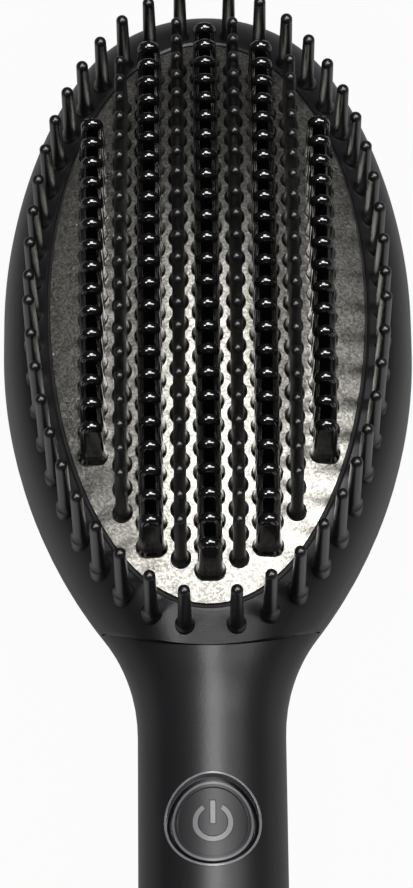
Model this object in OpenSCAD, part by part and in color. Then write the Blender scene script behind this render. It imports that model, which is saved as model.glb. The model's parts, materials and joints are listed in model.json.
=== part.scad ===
// Heated straightening brush: an oval paddle head on a round handle.
// X runs across the brush, +Y towards the head's tip and +Z the way the bristles point.
// The brush lies on its back: Z = 0 is the surface it rests on, and X = Y = 0 its middle.

/* [Overall] */
// Length from the head's tip to the end of the cord swivel
overall_len = 290; // [270:1:320]
// Radius of the round handle at the button
handle_r = 13.5; // [13:0.1:14]
// Radius of the handle at its cord end
handle_end_r = 12.4; // [12.1:0.1:12.9]
// Wall of the moulded housings
wall = 2; // [1.8:0.1:2.2]
// How far the head's back stands proud of the handle's back
back_crown = 0.15; // [0.1:0.05:0.4]

/* [Head outline] */
// Distance from the middle bristle row to the head's tip
head_tip = 68; // [67.5:0.5:69]
// Half width of the head at its widest
head_half_w = 38.7; // [38:0.1:39.5]
// Radius of the head's side above the widest place
side_r_up = 105; // [102:1:110]
// Radius of the head's side below the widest place
side_r_low = 95; // [92:1:96]
// Half length of the straight stretch at the widest place
side_flat = 2; // [1:0.5:3]
// Radius of the hollow curve from the head into the handle
neck_r = 34; // [30:1:36]
// Across radius of the neck's front
neck_crown_r = 40; // [34:1:46]
// Radius of the seam between frame and neck, seen from the front
seam_r = 34; // [30:1:38]
// Distance from the middle bristle row to the seam
seam_y = 65.3; // [64.6:0.1:66]

/* [Front dome] */
// Height of the front dome's crown above the handle's axis
dome_rise = 24; // [23:0.5:25]
// Lengthways radius of the dome from the middle row to the tip
dome_r_up = 145; // [140:1:155]
// Lengthways radius of the dome from the middle row to the neck
dome_r_low = 212; // [205:1:225]
// Across radius of the dome
dome_r_across = 77.8; // [74:0.2:82]

/* [Back] */
// Lengthways radius of the head's back
back_r = 450; // [420:5:500]
// Across radius of the head's back
back_r_across = 90; // [80:1:100]
// Distance from the middle bristle row to where the back starts to rise
back_flat_y = 35; // [30:1:40]

/* [Heater plate] */
// Half width of the oval plate
plate_a = 29.1; // [28.8:0.1:29.3]
// Half length of the oval plate
plate_b = 57.7; // [57.2:0.1:58]
// Thickness of the plate
plate_t = 2; // [1.6:0.1:2.2]
// Thickness of the plate's down-turned skirt
skirt_t = 1.6; // [1.4:0.1:2]
// Width of the dark groove round the plate
groove_w = 0.65; // [0.6:0.05:0.75]
// How far the gasket lies below the surface
gasket_drop = 0.8; // [0.5:0.1:1.2]
// Depth of the gasket
gasket_h = 2.6; // [2:0.1:3]
// Height of the skirt's foot above the handle's axis
skirt_foot = 7; // [6.8:0.1:7.4]
// Height of the flat that the heaters press on, above the handle's axis
heater_flat = 13.5; // [13.2:0.1:13.7]
// Width of the ribs under the plate
rib_w = 3; // [2.4:0.1:3.4]

/* [Bristles] */
// Spacing of the nine bristle columns
column_step = 5.25; // [5.2:0.05:5.3]
// Spacing of the bristle rows
row_step = 4.366; // [4.3:0.002:4.4]
// Height of the short wide bristles above the plate
cap_h = 15; // [13:0.5:17]
// Width of a wide bristle at its foot's top
cap_w = 4.7; // [4.4:0.1:4.8]
// Width of a wide bristle just under its rounded end
cap_top_w = 4.2; // [3.8:0.1:4.4]
// Depth of a wide bristle under its rounded end
cap_top_d = 2.2; // [2.1:0.1:2.4]
// Width of a wide bristle's flared foot
cap_foot_w = 5.9; // [5.6:0.1:6]
// Radius of the peg inside a wide bristle
peg_r = 0.7; // [0.6:0.05:0.8]
// Height of the peg above the plate
peg_h = 4; // [3:0.5:5]
// How much taller the long bristles are than the wide ones
long_extra = 5.35; // [4:0.05:6.5]
// Radius of a long bristle at its tip
long_tip_r = 1; // [0.9:0.05:1.1]
// Radius of a long bristle above its foot
long_shaft_r = 1.2; // [1.15:0.05:1.35]
// Radius of a long bristle's foot
long_foot_r = 1.8; // [1.6:0.05:1.85]
// Width of the strip that carries a column of long bristles
strip_w = 4.4; // [4.2:0.1:4.6]
// Thickness of the strips that carry the long and the outer bristles
strip_t = 1.6; // [1.2:0.1:1.8]

/* [Outer bristles] */
// Half width of the oval that the outer bristles stand on
ring_a = 32.3; // [32.1:0.1:32.6]
// Half length of that oval
ring_b = 61.4; // [61:0.1:61.8]
// Distance of the oval's middle from the middle row, towards the neck
ring_shift = 0.8; // [0.4:0.1:1.2]
// Roundness of the oval towards the tip: 2 is an ellipse, more is squarer
ring_n_up = 2; // [1.95:0.05:2.1]
// Roundness of the oval towards the neck
ring_n_low = 2.15; // [2:0.05:2.25]
// Distance between outer bristles along the oval
ring_step = 6.43; // [6.3:0.01:6.5]
// Distance between the two outer bristles at each end of the oval
ring_end_gap = 9.3; // [8.8:0.1:9.6]
// Number of bristles on each upper strip
ring_up_n = 12; // [10:1:12]
// Number of bristles on each lower strip
ring_low_n = 11; // [9:1:11]
// Height of the upper outer bristles above the frame
outer_up_h = 18.7; // [16:0.1:20]
// Height of the lower outer bristles above the frame
outer_low_h = 21.4; // [18:0.1:23]
// How much shorter the last lower outer bristles are, next to the neck
outer_end_drop = 2.8; // [0:0.1:4]
// Radius of an outer bristle at its tip
outer_tip_r = 1.1; // [1:0.05:1.2]
// Radius of an outer bristle above its foot
outer_shaft_r = 1.3; // [1.25:0.05:1.4]
// Radius of an outer bristle's bell foot
outer_foot_r = 1.8; // [1.65:0.05:1.85]

/* [Power button] */
// Distance from the middle bristle row to the button
button_y = 97.6; // [96:0.2:99]
// Radius of the bezel ring
bezel_r = 8.7; // [8.5:0.1:9]
// Width of the bezel's rim
bezel_rim_w = 0.4; // [0.3:0.05:0.6]
// Radius of the button cap
button_r = 7.3; // [7.1:0.1:7.4]
// How far the cap's rim lies below the handle's surface
button_drop = 1.7; // [1.4:0.1:1.9]
// Radius of the cap's dished face
face_r = 6.3; // [6:0.1:6.5]
// Depth of the dish
face_drop = 0.35; // [0.25:0.05:0.5]
// Outer radius of the power symbol
symbol_r = 3.6; // [3.2:0.1:3.8]
// Stroke of the power symbol
symbol_w = 0.9; // [0.7:0.05:1]
// How far the button travels
button_travel = 0.6; // [0.4:0.05:0.7]

/* [Control board] */
// Width of the board
board_w = 18; // [16:0.5:19]
// Length of the board
board_len = 74; // [68:1:78]
// Thickness of the board
board_t = 1.6; // [1.2:0.2:1.6]
// Side of the square key switch
switch_w = 6; // [5.6:0.1:6.4]
// Height of the key switch's case
switch_h = 3.6; // [3.2:0.1:3.8]

/* [Cord swivel] */
// Radius of the cord hole through the swivel
cord_hole_r = 3.1; // [2.8:0.1:3.4]
// Radius of the swivel's neck in the end collar
swivel_r = 6.4; // [6:0.1:6.6]
// How far the swivel stands out of the collar
swivel_out = 10; // [8:0.5:12]
// Length of the end collar
collar_len = 6; // [5:0.5:7]

/* [Fits] */
// Running clearance of the swivel and the switch key, on the radius
run_gap = 0.06; // [0.04:0.01:0.09]
// Clearance round a fixed fit
fit_gap = 0.1; // [0.06:0.01:0.12]
// Clearance round the button cap
button_gap = 0.2; // [0.15:0.05:0.25]
// Gap between stacked pieces that touch in use
seat_gap = 0.02; // [0.01:0.01:0.05]
// Radius of the small screws' shanks
screw_r = 1.25; // [1:0.05:1.4]
// Radius of the small screws' heads
screw_head_r = 2.2; // [2:0.1:2.3]

/* [Hidden] */
$fn = 48;
big = 400;
cut = 1;

// Heights: the handle's axis, the dome's crown and the levels stacked under the plate
axis_z = handle_r + back_crown;
crown_z = axis_z + dome_rise;
skirt_z = axis_z + skirt_foot;
heater_z = axis_z + heater_flat;
// Places along the brush, from the middle bristle row
head_y = overall_len / 2 - head_tip;
collar_end_y = -overall_len + head_tip + swivel_out;
housing_end_y = collar_end_y + collar_len;
taper_start_y = -112;

// Head outline: arcs about these centres, joined where they touch
up_c = head_half_w - side_r_up;
low_c = head_half_w - side_r_low;
tip_rise = head_tip - side_flat;
tip_r = (pow(side_r_up, 2) - pow(up_c, 2) - pow(tip_rise, 2)) / (2 * (side_r_up - tip_rise));
tip_y = head_tip - tip_r;
tip_join_y = side_flat + side_r_up * (tip_y - side_flat) / (side_r_up - tip_r);
neck_c = handle_r + neck_r;
neck_dy = sqrt(pow(side_r_low + neck_r, 2) - pow(neck_c - low_c, 2));
neck_join_y = -side_flat - side_r_low * neck_dy / (side_r_low + neck_r);
neck_end_y = -side_flat - neck_dy;

// Height of the front dome over a place on the plate
function across_drop(x) = dome_r_across - sqrt(pow(dome_r_across, 2) - x * x);
function dome_r(y) = y > 0 ? dome_r_up : dome_r_low;
function dome_z(x, y) = crown_z - dome_r(y) + sqrt(pow(dome_r(y) - across_drop(x), 2) - y * y);
function ring_n(end) = end > 0 ? ring_n_up : ring_n_low;

// A place on the outer bristles' oval, from its end (t = 0) to its side (t = 90)
function ring_at(t, n) = [ring_a * pow(sin(t), 2 / n), ring_b * pow(cos(t), 2 / n)];
function ring_next(t, from, n) =
  norm(ring_at(t, n) - from) >= ring_step ? t : ring_next(t + 0.1, from, n);
function ring_walk(count, t, n) = count == 0 ? [] :
  let (place = ring_at(t, n)) concat([place], ring_walk(count - 1, ring_next(t, place, n), n));
// The outer bristles' places on one strip: side is 1 or -1, end is 1 towards the tip
function ring_places(side, end) =
  let (n = ring_n(end), first = asin(pow(ring_end_gap / 2 / ring_a, n / 2)))
  [for (p = ring_walk(end > 0 ? ring_up_n : ring_low_n, first, n))
    [side * p.x, end * p.y - ring_shift]];
function outer_h(end, y) =
  end > 0 ? outer_up_h : outer_low_h - outer_end_drop * pow(abs(y + ring_shift) / ring_b, 20);

// Rows of the bristle columns: wide ones stand in the rows, long ones between them
wide_rows = [12, 11, 7];
long_rows = [11.5, 9.5];
long_columns = [-3, -1, 1, 3];

// Wide bristles: two round ends, this far off the middle, with a flat web between them
cap_c = (cap_top_w - cap_top_d) / 2;
cap_top_r = cap_top_d / 2;
cap_shaft_r = cap_w / 2 - cap_c;
cap_foot_r = cap_foot_w / 2 - cap_c;
cap_round_z = cap_h - cap_top_w / 2;

// Heater stack under the plate
heater_t = 2.2;
heater_end_y = 32;
heater_gap = 1;
insulation_t = 0.5;
clamp_t = 1.2;
clamp_top = heater_z - heater_t - insulation_t;
clamp_post_y = 37.5;
plate_post_y = 44;
post_r = 2.9;
chassis_t = 2;
chassis_z = skirt_z - chassis_t;
chassis_boss = [20, 28];
lead_slot_y = -50;
boss_r = 3.4;
screw_seat_z = 11;
recess_r = screw_head_r + 0.3;
housing_screw_y = [-78, collar_end_y + 18];
housing_seat_z = 5;

// Levels of the power button, and the radii that its curved faces share with the handle
bezel_flange_r = button_r + button_gap + 2.4;
well_floor_r = handle_r - button_drop - 0.7;
bezel_foot_z = axis_z + 3.4;
guide_step_z = axis_z + 6.4;
cap_flange_r = button_r + 0.8;
cap_foot_z = bezel_foot_z + button_travel + 0.3;
cap_rim_r = handle_r - button_drop;
face_top_r = cap_rim_r - face_drop;
face_t = 1.2;
guide_foot_z = axis_z + 7.5;
stem_r = 1.6;
// Levels of the control board under it
board_top = axis_z - 0.4;
board_y = -86;
switch_top = board_top + switch_h;
key_r = 1.7;
key_in = 1.2;
key_top = switch_top + 1.6;

// Cord swivel, along the handle's axis
spigot_r = handle_end_r - wall - fit_gap / 2;
spigot_len = 8;
cavity_r = spigot_r - 1.7;
swivel_flange_r = cavity_r - 0.25;
swivel_flange_t = 2.4;
collar_floor = 4.8;
retainer_r = 5;

/* ---- shared shapes ---- */

// Moves what is measured from the middle bristle row to its place on the brush
module at_head() {
  translate([0, head_y, 0])
    children();
}

// Half section of the head and handle about the handle's axis, drawn with the axis upright
module outline_half(inset) {
  // tip
  intersection() {
    translate([0, tip_y]) circle(r = tip_r - inset, $fn = 96);
    translate([0, tip_join_y]) square([big, big]);
  }
  // side towards the tip
  intersection() {
    translate([up_c, side_flat]) circle(r = side_r_up - inset, $fn = 240);
    translate([0, side_flat]) square([big, tip_join_y - side_flat]);
  }
  translate([0, -side_flat]) square([head_half_w - inset, 2 * side_flat]);
  // side towards the neck
  intersection() {
    translate([low_c, -side_flat]) circle(r = side_r_low - inset, $fn = 240);
    translate([0, neck_join_y]) square([big, -side_flat - neck_join_y]);
  }
  // hollow neck
  difference() {
    translate([0, neck_end_y]) square([neck_c - 0.1, neck_join_y - neck_end_y]);
    translate([neck_c, neck_end_y]) circle(r = neck_r + inset, $fn = 180);
  }
  // handle
  polygon([
    [0, neck_end_y], [handle_r - inset, neck_end_y], [handle_r - inset, taper_start_y],
    [handle_end_r - inset, housing_end_y], [0, housing_end_y]
  ]);
}

module turned_body(inset) {
  translate([0, 0, axis_z]) rotate([-90, 0, 0])
    rotate_extrude($fn = 120) outline_half(inset);
}

// A slice of a great ring whose outside is doubly curved: crowned at angle 0
module crown_wedge(r, r_across, drop, angle) {
  rotate([0, -90, 0]) rotate_extrude(angle = angle, $fn = 360)
    intersection() {
      translate([r - r_across, 0]) circle(r = r_across - drop, $fn = 240);
      translate([r - 60, -42]) square([61, 84]);
    }
}

// Everything under the front dome, lowered by drop
module front_dome(drop) {
  translate([0, 0, crown_z]) {
    translate([0, 0, -dome_r_up]) crown_wedge(dome_r_up, dome_r_across, drop, 38);
    mirror([0, 1, 0])
      translate([0, 0, -dome_r_low]) crown_wedge(dome_r_low, dome_r_across, drop, 30);
  }
}

// Everything above the head's back, raised by drop
module back_dome(drop) {
  translate([0, -back_flat_y, back_r]) mirror([0, 0, 1])
    crown_wedge(back_r, back_r_across, drop, 16);
  intersection() {
    translate([0, -back_flat_y, back_r_across]) rotate([90, 0, 0])
      cylinder(r = back_r_across - drop, h = big, $fn = 240);
    translate([-42, -big, drop]) cube([84, big - back_flat_y, 58]);
  }
}

module plate_plan(grow, a = plate_a, b = plate_b) {
  translate([0, -0.5]) scale([1, (b + grow) / (a + grow)]) circle(r = a + grow, $fn = 240);
}

// The front that belongs to the frame, as seen from the front
module frame_plan(gap) {
  translate([-50, -seam_y + 10.3]) square([100, 150]);
  translate([0, -seam_y + seam_r]) circle(r = seam_r - gap, $fn = 120);
}

module slab(z0, z1) {
  translate([-60, -230, z0]) cube([120, 310, z1 - z0]);
}

// Strip cross-section: the band between two levels below the dome, drawn along the brush
module dome_band_2d(x, top, bottom, y0, y1) {
  difference() {
    dome_section_2d(x, top, y0, y1);
    dome_section_2d(x, bottom, y0 - cut, y1 + cut);
  }
}

module dome_section_2d(x, drop, y0, y1) {
  intersection() {
    translate([0, crown_z - dome_r_up]) circle(r = dome_r_up - across_drop(x) - drop, $fn = 360);
    translate([0, 0]) square([y1, big]);
  }
  intersection() {
    translate([0, crown_z - dome_r_low]) circle(r = dome_r_low - across_drop(x) - drop, $fn = 360);
    translate([y0, 0]) square([-y0, big]);
  }
}

// Turns a section drawn as (along, up) into a bar of that section across the brush
module across(w) {
  rotate([90, 0, 90]) translate([0, 0, -w / 2])
    linear_extrude(w) children();
}

// A round bristle: foot_z is its flare's start and root how far it reaches down
module round_bristle(h, tip_r, shaft_r, foot_r, root, flare_h) {
  rotate_extrude($fn = 24) {
    polygon([
      [0, -root], [foot_r, -root], [foot_r, 0.5], [foot_r - (foot_r - shaft_r) * 0.62, 0.5 + flare_h / 3],
      [shaft_r, 0.5 + flare_h], [tip_r, h - tip_r], [0, h - tip_r]
    ]);
    intersection() {
      translate([0, h - tip_r]) circle(r = tip_r, $fn = 24);
      translate([0, h - tip_r]) square(tip_r);
    }
  }
}

// A pan-head screw pointing up from its head's underside
module screw(len, r = screw_r, head_r = screw_head_r) {
  translate([0, 0, -1.6]) {
    difference() {
      cylinder(r = head_r, h = 1.6);
      translate([0, 0, -cut]) cylinder(r = head_r * 0.42, h = cut + 0.9, $fn = 6);
    }
  }
  cylinder(r = r, h = len);
}

/* ---- housings ---- */

// The neck's front: a long shallow crown just over the handle's front
module neck_crown(inset) {
  translate([0, 80, axis_z + handle_r + 0.25 - neck_crown_r]) rotate([90, 0, 0])
    cylinder(r = neck_crown_r - inset, h = big, $fn = 180);
}

// A round bar on the handle's axis
module handle_bar(r) {
  translate([0, 0, axis_z]) rotate([90, 0, 0])
    cylinder(r = r, h = big, center = true, $fn = 96);
}

module front_frame() {
  color("#232325") at_head() difference() {
    intersection() {
      turned_body(0);
      front_dome(0);
      slab(axis_z + seat_gap, 60);
      linear_extrude(60) frame_plan(0);
    }
    intersection() {
      turned_body(wall);
      front_dome(wall);
    }
    linear_extrude(60) plate_plan(groove_w);
    for (end = [-1, 1], side = [-1, 1], p = ring_places(side, end))
      translate([p.x, p.y, axis_z]) cylinder(r = outer_foot_r + fit_gap, h = 40, $fn = 24);
  }
}

module handle_front() {
  color("#28282a") at_head() difference() {
    union() {
      difference() {
        intersection() {
          turned_body(0);
          neck_crown(0);
          slab(axis_z + seat_gap, 60);
        }
        intersection() {
          turned_body(wall);
          neck_crown(wall);
        }
      }
      intersection() {
        turned_body(wall / 2);
        neck_crown(wall / 2);
        for (y = housing_screw_y)
          translate([0, y, axis_z + seat_gap]) cylinder(r = post_r, h = 30, $fn = 32);
      }
    }
    linear_extrude(60) frame_plan(-fit_gap);
    translate([0, -button_y, axis_z]) cylinder(r = bezel_r + fit_gap / 2, h = 30, $fn = 64);
    for (y = housing_screw_y)
      translate([0, y, 0]) cylinder(r = screw_r + fit_gap / 2, h = axis_z + 9, $fn = 24);
  }
}

module rear_housing() {
  color("#1d1d1f") at_head() difference() {
    union() {
      difference() {
        intersection() {
          turned_body(0);
          back_dome(0);
          slab(-1, axis_z);
        }
        intersection() {
          turned_body(wall);
          back_dome(wall);
        }
      }
      rear_bosses();
    }
    // recesses and holes for the screws that go in from the back
    for (y = [-plate_post_y, plate_post_y])
      translate([0, y, -cut]) screw_tunnel(screw_seat_z);
    for (y = housing_screw_y)
      translate([0, y, -cut]) screw_tunnel(housing_seat_z);
    for (x = [-1, 1], y = [-1, 1])
      translate([x * chassis_boss.x, y * chassis_boss.y, chassis_z - 7])
        cylinder(r = screw_r + fit_gap / 2, h = 8, $fn = 24);
    for (p = board_bosses())
      translate([p.x, p.y, board_top - 6]) cylinder(r = screw_r + fit_gap / 2, h = 8, $fn = 24);
  }
}

module screw_tunnel(seat_z) {
  cylinder(r = recess_r, h = seat_z + cut, $fn = 32);
  cylinder(r = screw_r + fit_gap, h = 30, $fn = 24);
}

function board_bosses() = [[6, board_y - 3.5], [-6, board_y - board_len + 3.5]];

// The back's inside bosses, each cut off where the moulding's wall begins
module rear_bosses() {
  intersection() {
    turned_body(wall / 2);
    back_dome(wall / 2);
    union() {
      for (x = [-1, 1], y = [-1, 1])
        translate([x * chassis_boss.x, y * chassis_boss.y, 0])
          cylinder(r = boss_r, h = chassis_z - seat_gap, $fn = 32);
      for (y = [-plate_post_y, plate_post_y])
        translate([0, y, 0]) cylinder(r = recess_r + 1.2, h = chassis_z - seat_gap, $fn = 32);
      for (y = housing_screw_y)
        translate([0, y, 0]) cylinder(r = recess_r + 1.2, h = axis_z, $fn = 32);
      for (p = board_bosses())
        translate([p.x, p.y, 0]) cylinder(r = screw_r + 1.2, h = board_top - board_t - seat_gap, $fn = 32);
    }
  }
}

/* ---- heater plate and what lies under it ---- */

module heater_plate() {
  color("#cfc8b8") at_head() difference() {
    union() {
      difference() {
        intersection() {
          front_dome(0);
          translate([0, 0, skirt_z + seat_gap]) linear_extrude(40) plate_plan(0);
        }
        intersection() {
          front_dome(plate_t);
          linear_extrude(60) plate_plan(-skirt_t);
        }
      }
      intersection() {
        front_dome(plate_t / 2);
        union() {
          for (x = [-2, 0, 2])
            translate([x * column_step - rib_w / 2, -34, heater_z]) cube([rib_w, 68, 20]);
          for (x = [-2, 2], y = [-1, 1])
            translate([x * column_step, y * clamp_post_y, clamp_top + seat_gap])
              cylinder(r = 2.5, h = 20, $fn = 32);
          for (y = [-1, 1])
            translate([0, y * plate_post_y, skirt_z + seat_gap]) cylinder(r = post_r, h = 20, $fn = 32);
        }
      }
      for (c = [-2:2], row = [-wide_rows[abs(c)]:wide_rows[abs(c)]])
        translate([2 * c * column_step, row * row_step, dome_z(2 * c * column_step, row * row_step) - 0.6])
          cylinder(r = peg_r, h = peg_h + 0.6, $fn = 16);
    }
    for (c = long_columns, row = [-long_row_end(c):long_row_end(c)])
      translate([c * column_step, row * row_step, skirt_z]) cylinder(r = long_foot_r + fit_gap, h = 30, $fn = 24);
    for (x = [-2, 2], y = [-1, 1])
      translate([x * column_step, y * clamp_post_y, clamp_top - cut])
        cylinder(r = screw_r + fit_gap / 2, h = 6 + cut, $fn = 24);
    for (y = [-1, 1])
      translate([0, y * plate_post_y, skirt_z - cut])
        cylinder(r = screw_r + fit_gap / 2, h = 5 + cut, $fn = 24);
  }
}

function long_row_end(c) = long_rows[(abs(c) - 1) / 2];

module plate_gasket() {
  color("#141415") at_head() difference() {
    translate([0, 0, skirt_z]) linear_extrude(crown_z - skirt_z) difference() {
      plate_plan(groove_w - 0.05);
      plate_plan(0.05);
    }
    front_dome(gasket_drop + gasket_h);
    difference() {
      slab(skirt_z - cut, crown_z + cut);
      front_dome(gasket_drop);
    }
  }
}

// One short wide bristle: a black cap that sits over a peg of the plate
module wide_cap() {
  for (side = [-1, 1])
    translate([side * cap_c, 0, 0]) rotate([0, 0, -90 * side])
      rotate_extrude(angle = 180, $fn = 24) cap_half_profile();
  across(2 * cap_c) {
    cap_half_profile();
    mirror([1, 0]) cap_half_profile();
  }
  // rounded end: half of a thick disc with a round rim
  translate([0, 0, cap_round_z]) rotate([90, 0, 0])
    rotate_extrude(angle = 180, $fn = 24) {
      translate([0, -cap_top_r]) square([cap_c, cap_top_d]);
      intersection() {
        translate([cap_c, 0]) circle(r = cap_top_r, $fn = 24);
        translate([cap_c, -cap_top_r]) square([cap_top_r, cap_top_d]);
      }
    }
}

module cap_half_profile() {
  polygon([
    [0, -2.2], [cap_foot_r, -2.2], [cap_foot_r, 0.3],
    [cap_shaft_r + (cap_foot_r - cap_shaft_r) * 0.35, 1.2], [cap_shaft_r, 2.8],
    [cap_top_r, cap_round_z], [0, cap_round_z]
  ]);
}

// A column of wide bristles, each foot shaped to the plate's dome
module pin_caps(c) {
  x = 2 * c * column_step;
  rows = wide_rows[abs(c)];
  color("#0c0c0d") at_head() difference() {
    for (row = [-rows:rows])
      translate([x, row * row_step, dome_z(x, row * row_step)]) wide_cap();
    front_dome(-seat_gap);
    for (row = [-rows:rows])
      translate([x, row * row_step, dome_z(x, row * row_step) - 3])
        cylinder(r = peg_r + fit_gap / 2, h = peg_h + 3.2, $fn = 16);
  }
}

// A column of long bristles, moulded on a curved strip under the plate
module long_pin_comb(c) {
  x = c * column_step;
  rows = long_row_end(c);
  edge_x = abs(x) + strip_w / 2;
  top = plate_t + fit_gap;
  end_y = (rows + 0.5) * row_step;
  color("#121213") at_head() {
    translate([x, 0, 0]) across(strip_w)
      dome_band_2d(edge_x, top, top + strip_t, -end_y, end_y);
    for (row = [-rows:rows])
      translate([x, row * row_step, dome_z(x, row * row_step)])
        round_bristle(cap_h + long_extra, long_tip_r, long_shaft_r, long_foot_r,
          top + strip_t / 2 + across_drop(edge_x) - across_drop(x), 1.7);
  }
}

// A quarter of the outer bristles, moulded on a curved strip under the frame
module outer_pins(side, end) {
  top = wall + fit_gap;
  color("#161617") at_head() {
    intersection() {
      difference() {
        front_dome(top);
        front_dome(top + strip_t);
      }
      turned_body(wall + 0.2);
      linear_extrude(60) outer_strip_plan(side, end);
    }
    for (p = ring_places(side, end))
      translate([p.x, p.y, dome_z(p.x, p.y)])
        round_bristle(outer_h(end, p.y), outer_tip_r, outer_shaft_r, outer_foot_r,
          top + strip_t * 0.6, 1.9);
  }
}

module outer_strip_plan(side, end) {
  intersection() {
    translate([0, -ring_shift]) difference() {
      scale([1, (ring_b + 3) / (ring_a + 3)]) circle(r = ring_a + 3, $fn = 120);
      scale([1, (ring_b - 2.1) / (ring_a - 2.1)]) circle(r = ring_a - 2.1, $fn = 120);
    }
    translate([side > 0 ? 0.4 : -60.4, end > 0 ? -ring_shift - 3 : -ring_shift - 83.4])
      square([60, 80]);
  }
}

// A flat ceramic heater with its contact plates
module ceramic_heater(side) {
  start_y = side > 0 ? heater_gap : -heater_end_y;
  color("#d9d4cc") at_head() translate([-19, start_y, heater_z - heater_t + seat_gap])
    difference() {
      cube([38, heater_end_y - heater_gap, heater_t - 2 * seat_gap]);
      for (x = [6:6.5:32])
        translate([x, -cut, -cut]) cube([0.8, heater_end_y + 2 * cut, cut + 0.5]);
    }
}

module insulation_sheet() {
  color("#b8a878") at_head()
    translate([-20, -34, clamp_top]) cube([40, 68, insulation_t - seat_gap]);
}

module clamp_plate() {
  color("#a9acb0") at_head() difference() {
    translate([-17, -41, clamp_top - clamp_t]) cube([34, 82, clamp_t - seat_gap]);
    for (x = [-2, 2], y = [-1, 1])
      translate([x * column_step, y * clamp_post_y, clamp_top - 4])
        cylinder(r = screw_r + fit_gap, h = 8, $fn = 24);
    // windows that let the clamp flex
    for (y = [-22, 6])
      translate([-4, y, clamp_top - 4]) cube([8, 16, 8]);
  }
}

module thermistor() {
  color("#1f5c3a") at_head() translate([-9, -6, clamp_top - clamp_t - 1.1 - seat_gap]) rotate([90, 0, 0]) {
    cylinder(r = 1.1, h = 6, $fn = 24);
    translate([0, 0, 6]) cylinder(r = 0.4, h = 5, $fn = 16);
  }
}

module thermal_fuse() {
  color("#c8b46a") at_head() translate([9, 8, clamp_top - clamp_t - 1.25 - seat_gap]) rotate([90, 0, 0]) {
    cylinder(r = 1.25, h = 11, $fn = 24);
    translate([0, 0, 11]) cylinder(r = 0.4, h = 5, $fn = 16);
    translate([0, 0, -5]) cylinder(r = 0.4, h = 5, $fn = 16);
  }
}

// The tray that the plate's skirt stands on
module inner_chassis() {
  color("#3a3a38") at_head() difference() {
    union() {
      translate([0, 0, chassis_z]) linear_extrude(chassis_t) plate_plan(1.5);
      translate([0, 0, chassis_z]) linear_extrude(chassis_t + 1.5) difference() {
        plate_plan(-skirt_t - fit_gap);
        plate_plan(-skirt_t - fit_gap - 1.2);
      }
    }
    for (x = [-1, 1], y = [-1, 1])
      translate([x * chassis_boss.x, y * chassis_boss.y, 0]) cylinder(r = screw_r + fit_gap, h = 40, $fn = 24);
    for (y = [-1, 1])
      translate([0, y * plate_post_y, 0]) cylinder(r = screw_r + fit_gap, h = 40, $fn = 24);
    translate([-7, lead_slot_y - 3.5, 0]) cube([14, 6, 40]);
    // lightening windows
    for (y = [-30, 8])
      translate([-9, y, 0]) cube([18, 22, 40]);
  }
}

/* ---- power button ---- */

module button_bezel() {
  color("#3b3b3e") at_head() difference() {
    intersection() {
      union() {
        intersection() {
          translate([0, -button_y, bezel_foot_z]) cylinder(r = bezel_r, h = 30, $fn = 64);
          handle_bar(handle_r + 0.05);
        }
        intersection() {
          translate([0, -button_y, bezel_foot_z]) cylinder(r = bezel_flange_r, h = 30, $fn = 64);
          handle_bar(handle_r - wall - fit_gap);
        }
      }
      slab(bezel_foot_z, 60);
    }
    // well between the rim and the cap
    difference() {
      translate([0, -button_y, axis_z]) cylinder(r = bezel_r - bezel_rim_w, h = 30, $fn = 64);
      handle_bar(well_floor_r);
    }
    translate([0, -button_y, axis_z]) cylinder(r = button_r + button_gap, h = 30, $fn = 64);
    translate([0, -button_y, axis_z]) cylinder(r = cap_flange_r + button_gap, h = guide_step_z - axis_z, $fn = 64);
  }
}

module power_button() {
  color("#2c2c2f") at_head() difference() {
    union() {
      intersection() {
        translate([0, -button_y, cap_foot_z]) cylinder(r = button_r, h = 30, $fn = 64);
        handle_bar(cap_rim_r);
      }
      translate([0, -button_y, cap_foot_z])
        cylinder(r = cap_flange_r, h = guide_step_z - cap_foot_z - 0.15, $fn = 64);
    }
    // room for the switch under the stem
    translate([0, -button_y, axis_z]) cylinder(r = face_r - 0.4, h = key_top + seat_gap - axis_z, $fn = 64);
    // dished face
    difference() {
      translate([0, -button_y, axis_z]) cylinder(r = face_r, h = 30, $fn = 64);
      handle_bar(face_top_r);
    }
    // hollow round the stem
    intersection() {
      translate([0, -button_y, axis_z]) difference() {
        cylinder(r = face_r - 0.4, h = 30, $fn = 64);
        cylinder(r = stem_r, h = 30, $fn = 32);
      }
      handle_bar(face_top_r - face_t);
    }
    translate([0, -button_y, guide_foot_z + 1]) linear_extrude(20) symbol_2d(0.06);
  }
}

// The power symbol: a ring with a gap, and a bar
module symbol_2d(grow) {
  difference() {
    circle(r = symbol_r + grow, $fn = 48);
    circle(r = symbol_r - symbol_w - grow, $fn = 48);
    polygon([[0, 0], [-symbol_r, symbol_r * 1.7], [symbol_r, symbol_r * 1.7]]);
  }
  translate([-symbol_w / 2 - grow, -0.3 - grow]) square([symbol_w + 2 * grow, symbol_r + 0.6 + 2 * grow]);
}

// Clear piece under the cap's face, whose raised symbol fills the cap's cut-out
module symbol_light_guide() {
  color("#c9ccd2") at_head() {
    difference() {
      intersection() {
        translate([0, -button_y, guide_foot_z]) cylinder(r = face_r - 0.5, h = 30, $fn = 64);
        handle_bar(face_top_r - face_t - seat_gap);
      }
      translate([0, -button_y, axis_z]) cylinder(r = stem_r + fit_gap, h = 30, $fn = 32);
    }
    intersection() {
      translate([0, -button_y, guide_foot_z + 1.2]) linear_extrude(20) symbol_2d(0);
      handle_bar(face_top_r - 0.04);
    }
  }
}

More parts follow.
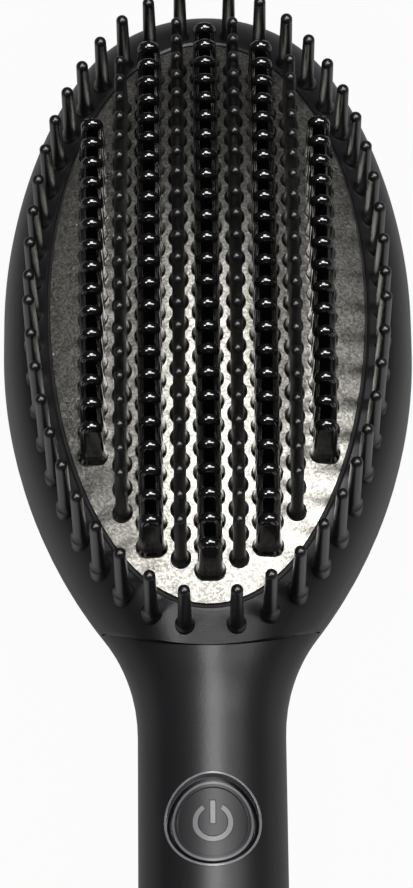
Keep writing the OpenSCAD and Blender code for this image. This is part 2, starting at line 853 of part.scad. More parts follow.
// Two wires from the heaters, through the chassis, to the board
module heater_leads() {
  color("#a8322a") at_head()
    for (x = [-5, 5])
      wire([[x, -heater_end_y - 0.2, heater_z - 1.2], [x, -44, heater_z - 2], [x, lead_slot_y, chassis_z + 1],
        [x, -58, chassis_z - 3], [x, -80, board_top + 2], [x, board_y - 0.8, board_top + 0.85]]);
}

// A round wire through the given points
module wire(points, r = 0.8) {
  for (i = [0:len(points) - 2]) {
    step = points[i + 1] - points[i];
    translate(points[i]) rotate([0, acos(step.z / norm(step)), atan2(step.y, step.x)])
      cylinder(r = r, h = norm(step), $fn = 32);
  }
  for (i = [1:len(points) - 2])
    translate(points[i]) sphere(r = r + 0.06, $fn = 32);
}

module tact_switch() {
  color("#8d9096") at_head() translate([0, -button_y, board_top + seat_gap]) difference() {
    translate([-switch_w / 2, -switch_w / 2, 0]) cube([switch_w, switch_w, switch_h - seat_gap]);
    translate([0, 0, switch_h - key_in - button_travel - 0.3])
      cylinder(r = key_r + run_gap, h = 10, $fn = 32);
  }
}

module switch_key() {
  color("#4a4c50") at_head() translate([0, -button_y, switch_top - key_in])
    cylinder(r = key_r, h = key_in + key_top - switch_top, $fn = 32);
}

module status_led() {
  color("#e8eef4") at_head() translate([0, -button_y + 5.2, board_top + seat_gap]) {
    translate([-1.6, -0.8, 0]) cube([3.2, 1.6, 0.8]);
    translate([0, 0, 0.8]) cylinder(r = 0.7, h = 0.5, $fn = 24);
  }
}

/* ---- control board ---- */

module control_board() {
  color("#1e5b3c") at_head() difference() {
    translate([-board_w / 2, board_y - board_len, board_top - board_t])
      cube([board_w, board_len, board_t]);
    for (p = board_bosses())
      translate([p.x, p.y, 0]) cylinder(r = screw_r + fit_gap, h = 40, $fn = 24);
  }
}

module film_capacitor() {
  color("#c9a227") at_head() translate([-4, -132, board_top + seat_gap])
    cube([8, 16, 8.5]);
}

module triac() {
  color("#2b2b2d") at_head() translate([-5, -146, board_top + seat_gap]) {
    cube([10, 6, 4.2]);
    difference() {
      translate([0, 6, 0]) cube([10, 6.5, 1.3]);
      translate([5, 9.8, -cut]) cylinder(r = 1.8, h = 4, $fn = 24);
    }
  }
}

module control_chip() {
  color("#19191b") at_head() translate([-2.6, -112, board_top + seat_gap]) {
    cube([5.2, 4, 1.5]);
    for (i = [0:3], side = [0, 1])
      translate([0.45 + i * 1.27, side * 4.9 - 0.9, 0]) cube([0.45, 0.9, 0.3]);
  }
}

module terminal_block() {
  color("#2f6f8f") at_head() translate([-7, -156.5 + 4.5, board_top + seat_gap]) difference() {
    translate([0, 0, 0]) cube([10, 5, 6]);
    for (x = [2.7, 7.3]) {
      translate([x, -cut, 2]) rotate([-90, 0, 0]) cylinder(r = 1, h = 4, $fn = 24);
      translate([x, 2.5, 4]) cylinder(r = 1.3, h = 4, $fn = 24);
    }
  }
}

/* ---- cord end ---- */

// Puts what is turned about an upright axis onto the handle's axis, measured from the middle row
module on_axis() {
  translate([0, 0, axis_z]) rotate([-90, 0, 0])
    children();
}

module end_collar() {
  color("#1a1a1c") at_head() on_axis() difference() {
    rotate_extrude($fn = 96) difference() {
      union() {
        polygon([
          [0, collar_end_y], [handle_end_r - 1.2, collar_end_y],
          [handle_end_r, collar_end_y + 1.2], [handle_end_r, housing_end_y - 0.3],
          [spigot_r, housing_end_y - 0.3], [spigot_r, housing_end_y + spigot_len],
          [0, housing_end_y + spigot_len]
        ]);
      }
      translate([0, collar_end_y - cut]) square([swivel_r + run_gap, 40]);
      translate([0, collar_end_y + collar_floor]) square([cavity_r, 40]);
    }
  }
}

module swivel_retainer() {
  color("#55575b") at_head() on_axis()
    rotate_extrude($fn = 72)
      translate([retainer_r, collar_end_y + collar_floor + swivel_flange_t + 0.5])
        square([cavity_r - fit_gap / 2 - retainer_r, 4.5]);
}

// The cord's turning gland, with the cord hole through it
module cord_swivel() {
  foot = collar_end_y - swivel_out;
  flange = collar_end_y + collar_floor + 0.1;
  color("#151516") at_head() on_axis()
    rotate_extrude($fn = 72) difference() {
      union() {
        polygon([
          [0, foot], [swivel_r - 2.2, foot], [swivel_r - 1.9, foot + 0.3],
          [swivel_r + 0.9, collar_end_y - 2.6], [swivel_r + 0.9, collar_end_y - 0.3],
          [swivel_r, collar_end_y - 0.3], [swivel_r, flange], [swivel_flange_r, flange],
          [swivel_flange_r, flange + swivel_flange_t], [retainer_r - 0.3, flange + swivel_flange_t],
          [retainer_r - 0.3, flange + swivel_flange_t + 4], [0, flange + swivel_flange_t + 4]
        ]);
      }
      translate([0, foot - cut]) square([cord_hole_r, 60]);
      for (i = [0:2])
        translate([swivel_r - 1.9 + 0.62 * (i + 1) + 0.35, foot + 1.7 * (i + 1)]) square([2, 0.7]);
    }
}

/* ---- screws ---- */

module clamp_screws() {
  color("#9a9da1") at_head()
    for (x = [-2, 2], y = [-1, 1])
      translate([x * column_step, y * clamp_post_y, clamp_top - clamp_t - seat_gap]) screw(6);
}

module plate_screws() {
  color("#9a9da1") at_head()
    for (y = [-1, 1])
      translate([0, y * plate_post_y, screw_seat_z - seat_gap]) screw(skirt_z - screw_seat_z + 4);
}

module chassis_screws() {
  color("#9a9da1") at_head()
    for (x = [-1, 1], y = [-1, 1])
      translate([x * chassis_boss.x, y * chassis_boss.y, skirt_z + seat_gap]) mirror([0, 0, 1]) screw(8);
}

module board_screws() {
  color("#9a9da1") at_head()
    for (p = board_bosses())
      translate([p.x, p.y, board_top + seat_gap]) mirror([0, 0, 1]) screw(5);
}

module housing_screws() {
  color("#9a9da1") at_head()
    for (y = housing_screw_y)
      translate([0, y, housing_seat_z - seat_gap]) screw(axis_z - housing_seat_z + 8);
}

front_frame();
handle_front();
rear_housing();
heater_plate();
plate_gasket();
pin_caps(-2);  // pin_caps_1
pin_caps(-1);  // pin_caps_2
pin_caps(0);  // pin_caps_3
pin_caps(1);  // pin_caps_4
pin_caps(2);  // pin_caps_5
long_pin_comb(-3);  // long_pin_comb_1
long_pin_comb(-1);  // long_pin_comb_2
long_pin_comb(1);  // long_pin_comb_3
long_pin_comb(3);  // long_pin_comb_4
outer_pins(1, 1);  // outer_pins_upper_right
outer_pins(-1, 1);  // outer_pins_upper_left
outer_pins(-1, -1);  // outer_pins_lower_left
outer_pins(1, -1);  // outer_pins_lower_right
ceramic_heater(1);  // ceramic_heater_upper
ceramic_heater(-1);  // ceramic_heater_lower
insulation_sheet();
clamp_plate();
thermistor();
thermal_fuse();
inner_chassis();
button_bezel();
power_button();
symbol_light_guide();
tact_switch();
switch_key();
status_led();
control_board();
film_capacitor();
triac();
control_chip();
terminal_block();
end_collar();
swivel_retainer();
cord_swivel();
clamp_screws();
plate_screws();
chassis_screws();
board_screws();
housing_screws();
heater_leads();
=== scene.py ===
import json
import math

import bmesh
import bpy
from mathutils import Matrix, Vector


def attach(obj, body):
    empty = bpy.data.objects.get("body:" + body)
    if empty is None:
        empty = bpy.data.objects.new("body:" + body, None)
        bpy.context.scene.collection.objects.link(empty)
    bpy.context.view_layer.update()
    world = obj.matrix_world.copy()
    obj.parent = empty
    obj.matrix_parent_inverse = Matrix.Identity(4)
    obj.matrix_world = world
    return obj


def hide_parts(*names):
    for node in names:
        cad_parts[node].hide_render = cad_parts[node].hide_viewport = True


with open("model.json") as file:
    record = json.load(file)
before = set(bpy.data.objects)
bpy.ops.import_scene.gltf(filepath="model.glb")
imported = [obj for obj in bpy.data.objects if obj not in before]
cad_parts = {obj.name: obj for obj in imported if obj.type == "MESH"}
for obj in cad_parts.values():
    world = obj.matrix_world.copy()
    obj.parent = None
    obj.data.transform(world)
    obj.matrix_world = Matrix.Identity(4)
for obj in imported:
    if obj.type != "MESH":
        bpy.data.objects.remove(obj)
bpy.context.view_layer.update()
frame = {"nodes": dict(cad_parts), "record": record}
nodes = frame["nodes"]
print("frame loaded:", len(nodes), "nodes")


# the camera stands where the photo's stood
camera = {
    "place": (-0.00043, -0.20119, 0.64445),
    "tilt": 22.2,     # degrees from straight down, towards the tip
    "roll": 0.613,
    "lens": 147.02,
    "nearEdge": 0.01,
}

studio = {
    "stripPlace": (0.29, 0.0, 1.05),    # wide soft box right over the head
    "stripSize": (1.25, 0.30),
    "stripPower": 12.5,
    "ridgePlace": (0.05, 0.36, 1.02),   # draws the bright ridge along the neck and handle
    "ridgeSize": (0.40, 0.40),
    "ridgePower": 5.0,
    "sidePlace": (-0.50, -0.33, 1.0),   # small lamp that draws the bristles' shadows
    "sideSize": (0.22, 0.22),
    "sidePower": 3.0,
    "aim": (0.0, 0.06, 0.03),           # where the lamps look
    "worldLevel": 0.03,
    "floorSize": 6.0,
    "floorDrop": 0.0002,
    "floorShade": 0.16,
    "floorRough": 0.7,
    "shown": 0.96,                      # how much of the white the camera sees
    "mirrored": 0.2,                    # how much of the white floor reflections show
}


def aimedMatrix(place, target, roll=0.0):
    # looks from place to target, the way a lamp or camera does
    back = (Vector(place) - Vector(target)).normalized()
    right = Vector((0, 1, 0)).cross(back)
    right = right.normalized() if right.length > 1e-4 else Vector((1, 0, 0))
    up = back.cross(right)
    turn = Matrix((right, up, back)).transposed() @ Matrix.Rotation(roll, 3, "Z")
    return Matrix.Translation(place) @ turn.to_4x4()


def setCamera():
    tilt = math.radians(camera["tilt"])
    place = Vector(camera["place"])
    data = bpy.data.cameras.new("photoView")
    data.sensor_width = 36.0
    data.lens = camera["lens"]
    data.clip_start = camera["nearEdge"]
    view = bpy.data.objects.new("photoView", data)
    bpy.context.scene.collection.objects.link(view)
    ahead = Vector((0, math.sin(tilt), -math.cos(tilt)))
    view.matrix_world = aimedMatrix(place, place + ahead, -math.radians(camera["roll"]))
    bpy.context.scene.camera = view


def addLamp(name):
    data = bpy.data.lights.new(name, "AREA")
    data.shape = "RECTANGLE"
    data.size, data.size_y = studio[name + "Size"]
    data.energy = studio[name + "Power"]
    lamp = bpy.data.objects.new(name, data)
    bpy.context.scene.collection.objects.link(lamp)
    lamp.matrix_world = aimedMatrix(studio[name + "Place"], studio["aim"])


class Wire:
    # one output of a node, used in plain arithmetic
    def __init__(self, net, socket):
        self.net = net
        self.socket = socket

    def sum(self, operation, first, second):
        return self.net.add("Math", {"operation": operation}, first, second)

    def __add__(self, other):
        return self.sum("ADD", self, other)

    def __sub__(self, other):
        return self.sum("SUBTRACT", self, other)

    def __mul__(self, other):
        return self.sum("MULTIPLY", self, other)

    def __truediv__(self, other):
        return self.sum("DIVIDE", self, other)

    def __rsub__(self, other):
        return self.sum("SUBTRACT", other, self)

    __radd__ = __add__
    __rmul__ = __mul__

    def clamp(self):
        return self.net.add("Clamp", {}, self)


class Net:
    # the nodes of one material
    def __init__(self, name):
        self.material = bpy.data.materials.new(name)
        self.material.use_nodes = True
        self.tree = self.material.node_tree
        self.shader = self.tree.nodes["Principled BSDF"]

    def add(self, kind, settings, *values, out=0, **named):
        node = self.tree.nodes.new("ShaderNode" + kind)
        for key, value in settings.items():
            setattr(node, key, value)
        for socket, value in zip(node.inputs, values):
            self.feed(socket, value)
        for key, value in named.items():
            self.feed(node.inputs[key], value)
        return Wire(self, node.outputs[out])

    def feed(self, socket, value):
        if isinstance(value, Wire):
            self.tree.links.new(value.socket, socket)
        elif value is not None:
            socket.default_value = value

    def noise(self, scale, detail=2.0, rough=0.5, place=None):
        place = place or self.place()
        return self.add("TexNoise", {}, Vector=place, Scale=scale, Detail=detail, Roughness=rough)

    def place(self):
        return self.add("TexCoord", {}, out="Object")

    def mix(self, amount, first, second):
        node = self.tree.nodes.new("ShaderNodeMix")
        node.data_type = "RGBA"
        self.feed(node.inputs["Factor"], amount)
        self.feed(node.inputs[6], first)
        self.feed(node.inputs[7], second)
        return Wire(self, node.outputs[2])

    def surface(self, **sockets):
        for key, value in sockets.items():
            self.feed(self.shader.inputs[key.replace("_", " ")], value)
        return self.material

    def bump(self, height, distance, strength=1.0):
        return self.add("Bump", {}, Strength=strength, Distance=distance, Height=height)


def colour(r, g, b):
    return (r, g, b, 1.0)


def scaled(shade, amount):
    # a darker or lighter step of a colour
    return colour(*[min(1, v * amount) for v in shade])


plastic = {
    "housing": {"shade": (0.0085, 0.0085, 0.0095), "rough": 0.36, "grain": 0.00002, "gloss": 0.42},
    "bristle": {"shade": (0.004, 0.004, 0.0042), "rough": 0.31, "grain": 0.000003, "gloss": 0.7},
    "cap": {"shade": (0.0035, 0.0035, 0.0037), "rough": 0.15, "grain": 0.000002, "gloss": 1.0, "coat": 0.6},
    "chassis": {"shade": (0.05, 0.05, 0.047), "rough": 0.6, "grain": 0.00002},
    "switch": {"shade": (0.08, 0.08, 0.085), "rough": 0.45, "grain": 0.00001},
    "terminal": {"shade": (0.05, 0.2, 0.32), "rough": 0.4, "grain": 0.00001},
    "chip": {"shade": (0.018, 0.018, 0.019), "rough": 0.5, "grain": 0.00001},
}


def mouldedPlastic(name):
    # spark-eroded tool texture: fine pits, and a faint change of sheen over the piece
    look = plastic[name]
    net = Net(name + "Plastic")
    pits = net.noise(2600.0, 3.0, 0.6)
    patch = net.noise(38.0, 2.0, 0.5)
    shade = look["shade"]
    base = net.mix(patch, scaled(shade, 0.86), scaled(shade, 1.14))
    rough = look["rough"] + (patch - 0.5) * 0.07 + (pits - 0.5) * 0.10
    return net.surface(Base_Color=base, Roughness=rough.clamp(),
                       Normal=net.bump(pits, look["grain"]), Specular_IOR_Level=look.get("gloss", 0.5),
                       Coat_Weight=look.get("coat", 0.0), Coat_Roughness=0.1)


coat = {
    "flakeScale": 2900.0,
    "grainScale": 1500.0,
    "cloudScale": 30.0,
    "dark": (0.19, 0.182, 0.164),
    "light": (0.60, 0.58, 0.535),
    "rough": 0.30,
    "metallic": 0.92,
    "depth": 0.00004,
}


def platedCoat():
    # warm silver coat with fine flakes that catch the light one by one
    net = Net("plateCoat")
    place = net.place()
    flakes = net.add("TexVoronoi", {"feature": "F1"}, Vector=place, Scale=coat["flakeScale"], out="Color")
    split = net.add("SeparateColor", {}, flakes)
    grain = net.noise(coat["grainScale"], 3.0, 0.65, place)
    cloud = net.noise(coat["cloudScale"], 2.0, 0.5, place)
    spark = (split - 0.55) * 1.6
    base = net.mix((spark * 0.5 + grain * 0.6).clamp(), colour(*coat["dark"]), colour(*coat["light"]))
    rough = coat["rough"] + (grain - 0.5) * 0.14 + (cloud - 0.5) * 0.05
    return net.surface(Base_Color=base, Roughness=rough.clamp(), Metallic=coat["metallic"],
                       Normal=net.bump(split * 0.6 + grain, coat["depth"], 0.7))


plain = {
    "seal": {"name": "sealRubber", "shade": (0.006, 0.006, 0.006), "rough": 0.75},
    "ceramic": {"name": "firedCeramic", "shade": (0.82, 0.80, 0.75), "rough": 0.35},
    "mica": {"name": "micaSheet", "shade": (0.5, 0.4, 0.22), "rough": 0.5, "scale": 300.0},
    "steel": {"name": "screwSteel", "shade": (0.55, 0.56, 0.58), "rough": 0.3, "metallic": 1.0},
    "sensor": {"name": "sensorBead", "shade": (0.04, 0.2, 0.1), "rough": 0.25},
    "fuse": {"name": "fuseCase", "shade": (0.7, 0.55, 0.28), "rough": 0.3, "metallic": 1.0},
    "light_guide": {"name": "lightGuide", "shade": (0.15, 0.153, 0.16), "rough": 0.4},
    "led": {"name": "ledLens", "shade": (0.8, 0.83, 0.88), "rough": 0.15},
    "board": {"name": "boardMask", "shade": (0.03, 0.16, 0.08), "rough": 0.3, "scale": 400.0},
    "capacitor": {"name": "capacitorBox", "shade": (0.6, 0.42, 0.06), "rough": 0.3},
    "wire": {"name": "wireSleeve", "shade": (0.5, 0.06, 0.04), "rough": 0.45},
}


def plainFinish(look):
    # one colour with a fine grain in it
    net = Net(look["name"])
    grain = net.noise(look.get("scale", 900.0), 3.0, 0.55)
    base = net.mix(grain, scaled(look["shade"], 0.88), scaled(look["shade"], 1.1))
    return net.surface(Base_Color=base, Roughness=(look["rough"] + (grain - 0.5) * 0.12).clamp(),
                       Metallic=look.get("metallic", 0.0), Normal=net.bump(grain, 0.00001))


rings = {
    "middle": (0.0, -0.0206, 0.0),      # the button's middle in plan
    "softness": 0.00012,
    "bevel": 0.00018,
}

ringed = {
    # each rim colour below is a painted highlight, much lighter than the plastic
    "bezel": {"shade": (0.004, 0.004, 0.0045), "rough": 0.36, "gloss": 0.7,
              "rimFrom": 0.00815, "rimHighlightShade": (0.15, 0.15, 0.16)},
    "button": {"shade": (0.018, 0.018, 0.0195), "rough": 0.45, "gloss": 0.45,
               "rimFrom": 0.0068, "rimHighlightShade": (0.13, 0.13, 0.14)},
}


def ringedPlastic(name):
    # satin plastic whose outer rim is a painted highlight: a lighter painted ring standing in for light
    # along the edge, and a little glossier
    look = ringed[name]
    net = Net(name + "Plastic")
    place = net.place()
    flat = net.add("VectorMath", {"operation": "MULTIPLY"}, place, (1.0, 1.0, 0.0))
    away = net.add("VectorMath", {"operation": "SUBTRACT"}, flat, rings["middle"])
    reach = net.add("VectorMath", {"operation": "LENGTH"}, away, out="Value")
    rim = ((reach - look["rimFrom"]) / rings["softness"]).clamp()
    pits = net.noise(2600.0, 3.0, 0.6, place)
    wear = net.noise(420.0, 3.0, 0.6, place)
    tone = net.mix(wear, scaled(look["shade"], 0.82), scaled(look["shade"], 1.18))
    # painted highlight: the rim is painted a lighter grey, standing in for light along the edge
    edge = net.mix(wear, scaled(look["rimHighlightShade"], 0.7), scaled(look["rimHighlightShade"], 1.3))
    base = net.mix(rim, tone, edge)
    rough = look["rough"] - rim * 0.12 + (pits - 0.5) * 0.1
    bevel = net.add("Bevel", {"samples": 4}, Radius=rings["bevel"])
    bump = net.add("Bump", {}, Strength=0.8, Distance=0.00001, Height=pits, Normal=bevel)
    return net.surface(Base_Color=base, Roughness=rough.clamp(), Normal=bump,
                       Specular_IOR_Level=look["gloss"])


finish = {key: mouldedPlastic(key) for key in plastic}
finish["coated_plate"] = platedCoat()
finish["bristle_cap"] = finish["cap"]
for key, look in plain.items():
    finish[key] = plainFinish(look)
for key in ringed:
    finish[key] = ringedPlastic(key)

slotOf = {part["node"]: part["material_slot"] for part in frame["record"]["subparts"]}
for name, node in nodes.items():
    node.data.materials.clear()
    node.data.materials.append(finish[slotOf[name]])
print("finishes set:", len(finish))


# sizes of the brush that its two front shells share with the solids, in metres
brush = {
    "axisHeight": 0.01365,
    "headMiddle": 0.077,       # the middle bristle row, from the brush's middle
    "halfWidth": 0.0387,
    "sideUp": 0.105,           # radii of the head's outline
    "sideLow": 0.095,
    "sideFlat": 0.002,
    "tip": 0.068,
    "neck": 0.034,
    "handle": 0.0135,
    "handleEnd": 0.0124,
    "taperFrom": -0.112,
    "housingEnd": -0.206,
    "domeRise": 0.024,
    "domeUp": 0.145,
    "domeLow": 0.212,
    "domeAcross": 0.0778,
    "seamBend": 0.034,
    "seamAt": -0.0653,
    "plate": (0.02975, 0.05835),   # the opening for plate and gasket
    "plateShift": -0.0005,
}


class Outline:
    # half width of the brush, seen from the front, at a place measured from the middle row
    def __init__(self, b):
        self.b = b
        self.upMiddle = b["halfWidth"] - b["sideUp"]
        self.lowMiddle = b["halfWidth"] - b["sideLow"]
        rise = b["tip"] - b["sideFlat"]
        self.tipBend = (b["sideUp"] ** 2 - self.upMiddle ** 2 - rise ** 2) / (2 * (b["sideUp"] - rise))
        self.tipMiddle = b["tip"] - self.tipBend
        share = (self.tipMiddle - b["sideFlat"]) / (b["sideUp"] - self.tipBend)
        self.tipJoin = b["sideFlat"] + b["sideUp"] * share
        self.neckMiddle = b["handle"] + b["neck"]
        both = b["sideLow"] + b["neck"]
        drop = math.sqrt(both ** 2 - (self.neckMiddle - self.lowMiddle) ** 2)
        self.neckJoin = -b["sideFlat"] - b["sideLow"] * drop / both
        self.neckEnd = -b["sideFlat"] - drop

    def width(self, y):
        b = self.b
        if y > b["tip"]:
            return 0.0
        if y > self.tipJoin:
            return math.sqrt(max(self.tipBend ** 2 - (y - self.tipMiddle) ** 2, 0))
        if y > b["sideFlat"]:
            return self.upMiddle + math.sqrt(b["sideUp"] ** 2 - (y - b["sideFlat"]) ** 2)
        if y > -b["sideFlat"]:
            return b["halfWidth"]
        if y > self.neckJoin:
            return self.lowMiddle + math.sqrt(b["sideLow"] ** 2 - (y + b["sideFlat"]) ** 2)
        if y > self.neckEnd:
            return self.neckMiddle - math.sqrt(b["neck"] ** 2 - (y - self.neckEnd) ** 2)
        if y > b["taperFrom"]:
            return b["handle"]
        share = (y - b["taperFrom"]) / (b["housingEnd"] - b["taperFrom"])
        return b["handle"] + (b["handleEnd"] - b["handle"]) * share


outline = Outline(brush)


def ease(value):
    value = min(max(value, 0.0), 1.0)
    return value * value * (3 - 2 * value)


def softLower(a, b, width):
    # the lower of two heights, rounded where they meet
    near = max(width - abs(a - b), 0) / width
    return min(a, b) - near * near * width / 4


def domeHeight(x, y):
    # the plate's and frame's common dome, over the handle's axis
    bend = brush["domeUp"] if y > 0 else brush["domeLow"]
    across = brush["domeAcross"] - math.sqrt(brush["domeAcross"] ** 2 - x * x)
    return brush["domeRise"] - bend + math.sqrt((bend - across) ** 2 - y * y)


def seamLine(x):
    return brush["seamAt"] + brush["seamBend"] - math.sqrt(brush["seamBend"] ** 2 - x * x)


frameSkin = {
    "rays": 300,
    "rings": 24,
    "shoulder": 0.005,      # how wide the dome rolls over into the sides
    "tipShoulder": 0.009,
    "tipFrom": 0.03,        # where the shoulder starts to widen, and over what length
    "tipOver": 0.03,
    "neckFrom": -0.044,     # where the dome starts to turn into the neck
    "neckOver": 0.017,
    "neckRise": 0.0002,
    "neckPower": 2.6,       # 2 is an ellipse, more is squarer
    "seamHalf": 0.0244,     # the seam's curve ends here, to either side
    "lip": 0.0004,
    "wallDepth": 0.0016,
    "lift": 0.00002,        # stands clear of the solids under it
}


def frameHeight(x, y):
    # the dome, rolled over into the sides and turned into the neck's round
    half = outline.width(y)
    if half <= abs(x):
        return 0.0
    look = frameSkin
    dome = domeHeight(x, y)
    side = math.sqrt(half * half - x * x)
    toTip = ease((y - look["tipFrom"]) / look["tipOver"])
    roll = look["shoulder"] + (look["tipShoulder"] - look["shoulder"]) * toTip
    rolled = softLower(dome, side, roll)
    toNeck = ease((look["neckFrom"] - y) / look["neckOver"])
    if toNeck == 0:
        return max(rolled, 0)
    crest = domeHeight(0, y) + look["neckRise"]
    neck = crest * math.sqrt(1 - (abs(x) / half) ** look["neckPower"])
    return max(rolled + (neck - rolled) * toNeck, 0)


def insideFrame(x, y):
    # within the outline and above the seam with the neck
    if abs(x) >= outline.width(y):
        return False
    seamHalf = frameSkin["seamHalf"]
    return y > seamLine(seamHalf) or (abs(x) < seamHalf and y > seamLine(x))


def rayEnd(dx, dy):
    # how far a ray from the plate's middle runs before it leaves the frame
    near, far = 0.02, 0.1
    for _ in range(40):
        middle = (near + far) / 2
        if insideFrame(middle * dx, brush["plateShift"] + middle * dy):
            near = middle
        else:
            far = middle
    return near


def dropWall(bm, rims, depth):
    # turns the skin's open rims down, as a moulded wall
    wall = bmesh.ops.extrude_edge_only(bm, edges=rims)["geom"]
    corners = [g for g in wall if isinstance(g, bmesh.types.BMVert)]
    bmesh.ops.translate(bm, verts=corners, vec=(0, 0, -depth))


def finishShell(bm, name, replaced):
    bmesh.ops.recalc_face_normals(bm, faces=bm.faces)
    mesh = bpy.data.meshes.new(name)
    bm.to_mesh(mesh)
    bm.free()
    piece = bpy.data.objects.new(name, mesh)
    bpy.context.scene.collection.objects.link(piece)
    mesh.materials.append(finish["housing"])
    for face in mesh.polygons:
        face.use_smooth = True
    mesh.set_sharp_from_angle(angle=math.radians(38))
    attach(piece, "brush")
    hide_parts(replaced)


def buildFrameSkin():
    look = frameSkin
    bm = bmesh.new()
    bmesh.ops.create_grid(bm, x_segments=look["rings"], y_segments=look["rays"], size=1.0)
    wide, long = brush["plate"]
    ends = {}
    for vert in bm.verts:
        ray = round((vert.co.y + 1) / 2 * look["rays"])
        ring = round((vert.co.x + 1) / 2 * look["rings"])
        turn = 2 * math.pi * (ray % look["rays"]) / look["rays"]
        dx, dy = math.cos(turn), math.sin(turn)
        start = 1 / math.sqrt((dx / wide) ** 2 + (dy / long) ** 2)
        if ray not in ends:
            ends[ray] = rayEnd(dx, dy)
        share = ring / look["rings"]
        # the rings lie closer together towards the outer rim
        spread = 0.35 * share * share + 0.65 * math.sin(share * math.pi / 2) if share > 0.2 else share * 1.09
        reach = start + (ends[ray] - start) * spread
        x, y = reach * dx, brush["plateShift"] + reach * dy
        z = frameHeight(x, y)
        edge = reach - start
        if edge < look["lip"]:
            z -= look["lip"] - math.sqrt(look["lip"] ** 2 - (look["lip"] - edge) ** 2)
        vert.co = (x, brush["headMiddle"] + y, brush["axisHeight"] + look["lift"] + z)
    bmesh.ops.remove_doubles(bm, verts=bm.verts, dist=0.000002)
    rims = [edge for edge in bm.edges if edge.is_boundary
            and min(v.co.z for v in edge.verts) > brush["axisHeight"] + 0.001]
    dropWall(bm, rims, look["wallDepth"])
    finishShell(bm, "frameShell", "front_frame")


neckSkin = {
    "columns": 84,
    "rows": 190,
    # share of the rows used up, and the place reached: they lie closest round the button
    "stops": [(0.0, -0.058), (0.30, -0.078), (0.36, -0.086), (0.88, -0.110), (1.0, brush["housingEnd"])],
    "seamGap": 0.00012,
    "gapHalf": 0.016,       # the gap is closed here and overlaps beyond
    "seamHalf": 0.0235,     # the seam's curve is followed this far to either side
    "crest": 0.01372,
    "crestFrom": -0.086,    # the crest turns into the grip's round over this length
    "crestOver": 0.018,
    "buttonPlace": -0.0976,  # the button's middle, from the middle bristle row
    "buttonHole": 0.00875,
    "holeReach": 0.002,     # rim points this close to the hole are set on it
    "wallDepth": 0.0014,
    "wallEnd": -0.11,
    "lift": 0.00002,
}


def neckHeight(x, y):
    half = outline.width(y)
    if half <= abs(x):
        return 0.0
    crest = half + (neckSkin["crest"] - half) * ease((y - neckSkin["crestFrom"]) / neckSkin["crestOver"])
    return crest * math.sqrt(1 - (x / half) ** 2)


def neckTop(turn):
    # the end of the neck's skin at the seam, where the seam's line and the outline meet
    look = neckSkin
    top = look["stops"][0][1] - 0.0005
    for _ in range(12):
        across = min(outline.width(top) * abs(math.sin(turn)), look["seamHalf"])
        top = seamLine(across) - look["seamGap"] * max(1 - (across / look["gapHalf"]) ** 2, -1.5)
    return top


def buildNeckSkin():
    look = neckSkin
    bm = bmesh.new()
    bmesh.ops.create_grid(bm, x_segments=look["columns"], y_segments=look["rows"], size=1.0)
    stops = look["stops"]
    first, last = stops[0][1], stops[-1][1]
    for vert in bm.verts:
        turn = vert.co.x * math.pi / 2
        share = (1 - vert.co.y) / 2
        for (low, yLow), (high, yHigh) in zip(stops, stops[1:]):
            if share <= high + 1e-6:
                y = yLow + (yHigh - yLow) * (share - low) / (high - low)
                break
        top = neckTop(turn)
        y = top + (y - first) * (last - top) / (last - first)
        x = outline.width(y) * math.sin(turn)
        z = neckHeight(x, y) if abs(vert.co.x) < 0.9999 else 0.0
        vert.co = (x, y, z)
    button = look["buttonPlace"]
    centres = [(face, face.calc_center_median()) for face in bm.faces]
    inner = [face for face, c in centres if math.hypot(c.x, c.y - button) < look["buttonHole"]]
    bmesh.ops.delete(bm, geom=inner, context="FACES")
    for vert in bm.verts:
        away = math.hypot(vert.co.x, vert.co.y - button)
        if vert.is_boundary and away < look["buttonHole"] + look["holeReach"]:
            x = vert.co.x * look["buttonHole"] / away
            y = button + (vert.co.y - button) * look["buttonHole"] / away
            vert.co = (x, y, neckHeight(x, y))
    bmesh.ops.translate(bm, verts=bm.verts, vec=(0, brush["headMiddle"], brush["axisHeight"] + look["lift"]))
    rims = [edge for edge in bm.edges if edge.is_boundary
            and max(v.co.z for v in edge.verts) > brush["axisHeight"] + 0.0003
            and edge.verts[0].co.y > brush["headMiddle"] + look["wallEnd"]]
    dropWall(bm, rims, look["wallDepth"])
    finishShell(bm, "neckShell", "handle_front")


buildFrameSkin()
buildNeckSkin()
print("front shells built")


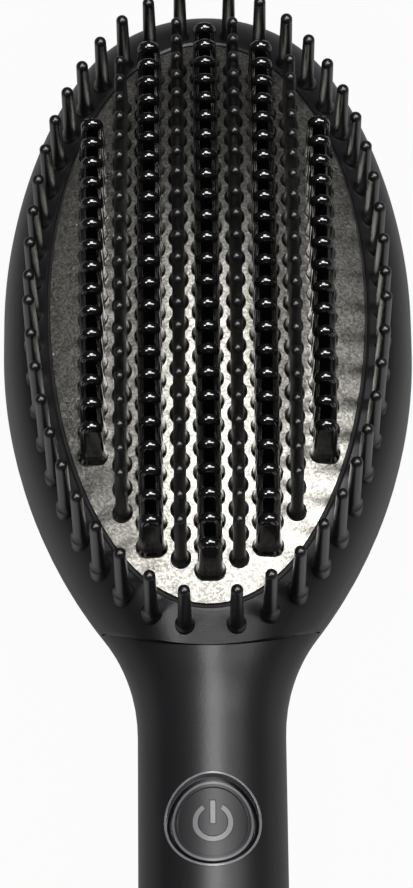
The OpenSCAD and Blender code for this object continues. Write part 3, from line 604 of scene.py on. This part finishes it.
def whiteBackdrop():
    # white to the camera, partly white in reflections, a plain pale floor to everything else
    net = Net("paleFloor")
    tree = net.tree
    direct = net.add("LightPath", {}, out="Is Camera Ray")
    rays = direct.socket.node.outputs
    mirrored = Wire(net, rays["Is Glossy Ray"]) + Wire(net, rays["Is Transmission Ray"])
    glow = tree.nodes.new("ShaderNodeEmission")
    glow.inputs["Color"].default_value = colour(1, 1, 1)
    shade = studio["floorShade"]
    net.surface(Base_Color=colour(shade, shade, shade), Roughness=studio["floorRough"])
    blend = tree.nodes.new("ShaderNodeMixShader")
    net.feed(blend.inputs[0], (direct * studio["shown"] + mirrored * studio["mirrored"]).clamp())
    tree.links.new(net.shader.outputs[0], blend.inputs[1])
    tree.links.new(glow.outputs[0], blend.inputs[2])
    tree.links.new(blend.outputs[0], tree.nodes["Material Output"].inputs["Surface"])
    return net.material


def setStage():
    bm = bmesh.new()
    bmesh.ops.create_grid(bm, x_segments=1, y_segments=1, size=studio["floorSize"] / 2)
    bmesh.ops.translate(bm, verts=bm.verts, vec=(0, 0, -studio["floorDrop"]))
    mesh = bpy.data.meshes.new("floor")
    bm.to_mesh(mesh)
    bm.free()
    floor = bpy.data.objects.new("floor", mesh)
    floor.data.materials.append(whiteBackdrop())
    bpy.context.scene.collection.objects.link(floor)
    world = bpy.data.worlds.new("studio")
    world.use_nodes = True
    tree = world.node_tree
    back = tree.nodes["Background"]
    back.inputs["Color"].default_value = colour(1, 1, 1)
    back.inputs["Strength"].default_value = studio["worldLevel"]
    white = tree.nodes.new("ShaderNodeBackground")
    white.inputs["Strength"].default_value = 1.0
    white.inputs["Color"].default_value = colour(1, 1, 1)
    path = tree.nodes.new("ShaderNodeLightPath")
    blend = tree.nodes.new("ShaderNodeMixShader")
    tree.links.new(path.outputs["Is Camera Ray"], blend.inputs[0])
    tree.links.new(back.outputs[0], blend.inputs[1])
    tree.links.new(white.outputs[0], blend.inputs[2])
    tree.links.new(blend.outputs[0], tree.nodes["World Output"].inputs["Surface"])
    bpy.context.scene.world = world
    bpy.context.scene.view_settings.view_transform = "Standard"


setStage()
setCamera()
for lampName in ("strip", "ridge", "side"):
    addLamp(lampName)
print("stage, camera and lamps set")
